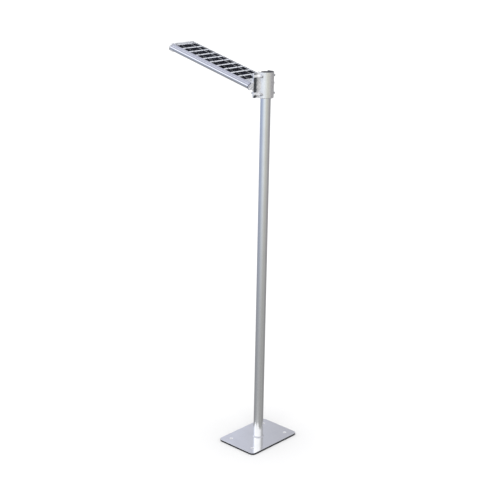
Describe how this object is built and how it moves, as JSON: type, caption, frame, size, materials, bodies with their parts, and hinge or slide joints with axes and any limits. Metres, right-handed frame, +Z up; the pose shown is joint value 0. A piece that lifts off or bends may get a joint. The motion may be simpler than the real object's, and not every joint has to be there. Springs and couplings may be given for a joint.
{
  "type": "solar street lamp",
  "caption": "All-in-one solar lamp: slim panel-topped LED head clamped to a round pole, welded to a flat rectangular foot plate.",
  "frame": {"origin": "centre of the foot plate's underside, on the pole axis", "axes": "+Z up along the pole; -Y is the way the lamp head points; +X across the head"},
  "size_m": [0.414, 0.8449, 2.408],
  "materials": {
    "steel_plate": "polished",
    "steel_pole": "polished",
    "weld_bead": "satin",
    "black_plastic": "matte",
    "cast_aluminium": "satin",
    "extruded_aluminium": "anodised satin",
    "zinc_steel": "bright",
    "black_rubber": "matte",
    "silicone": "matte",
    "panel_glass": "clear",
    "silicon_cell": "gloss",
    "tinned_ribbon": "satin",
    "white_sheet": "matte",
    "battery_wrap": "gloss",
    "nickel": "satin",
    "black_holder": "matte",
    "circuit_board": "satin",
    "white_board": "satin",
    "component_black": "satin",
    "led_phosphor": "satin",
    "clear_polycarbonate": "clear",
    "grey_cover": "satin",
    "white_dome": "satin",
    "switch_steel": "satin",
    "wire_insulation": "satin"
  },
  "bodies": {
    "post": {"base_plate": "steel_plate", "pole_tube": "steel_pole", "foot_weld": "weld_bead", "pole_cap": "black_plastic"},
    "head": {"clamp_bracket": "cast_aluminium", "clamp_gasket_strips": "black_rubber", "clamp_washers_front": "zinc_steel", "clamp_nuts": "zinc_steel", "head_housing": "extruded_aluminium", "front_end_cap": "cast_aluminium", "front_end_gasket": "black_rubber", "rear_end_gasket": "black_rubber", "front_cap_screws": "zinc_steel", "rear_cap_screws": "zinc_steel", "panel_adhesive": "silicone", "panel_backsheet": "white_sheet", "solar_cells": "silicon_cell", "cell_busbars": "tinned_ribbon", "solar_glass": "panel_glass", "battery_cells": "battery_wrap", "battery_holders": "black_holder", "battery_straps": "nickel", "controller_board": "circuit_board", "controller_parts": "component_black", "controller_standoffs": "switch_steel", "controller_screws": "zinc_steel", "led_board": "white_board", "led_packages": "led_phosphor", "lens_gasket": "silicone", "led_lens_plate": "clear_polycarbonate", "lens_screws": "zinc_steel", "service_cover": "grey_cover", "service_gasket": "silicone", "service_screws": "zinc_steel", "pir_dome": "white_dome", "pir_board": "circuit_board", "pir_sensor": "switch_steel", "switch_body": "switch_steel", "switch_nut": "switch_steel", "switch_contact_ring": "nickel", "status_window": "clear_polycarbonate", "vent_plug": "black_plastic", "lead_bush": "black_rubber", "panel_leads": "wire_insulation", "battery_leads": "wire_insulation", "led_leads": "wire_insulation"},
    "clamp_rear": {"clamp_rear_half": "cast_aluminium", "clamp_bolts": "zinc_steel", "clamp_washers_rear": "zinc_steel"},
    "button": {"power_button": "switch_steel"}
  },
  "joints": [
    {"name": "head_yaw", "type": "hinge", "parent": "post", "child": "head", "pos_m": [0, 0, 2.235], "axis": [0, 0, 1], "continuous": true},
    {"name": "clamp_release", "type": "slide", "parent": "head", "child": "clamp_rear", "axis": [0, 1, 0], "range_m": [0, 0.008]},
    {"name": "button_press", "type": "slide", "parent": "head", "child": "button", "axis": [0, 0.2334, 0.9724], "range_m": [0, 0.0015], "stiffness_N_per_m": 1500}
  ]
}
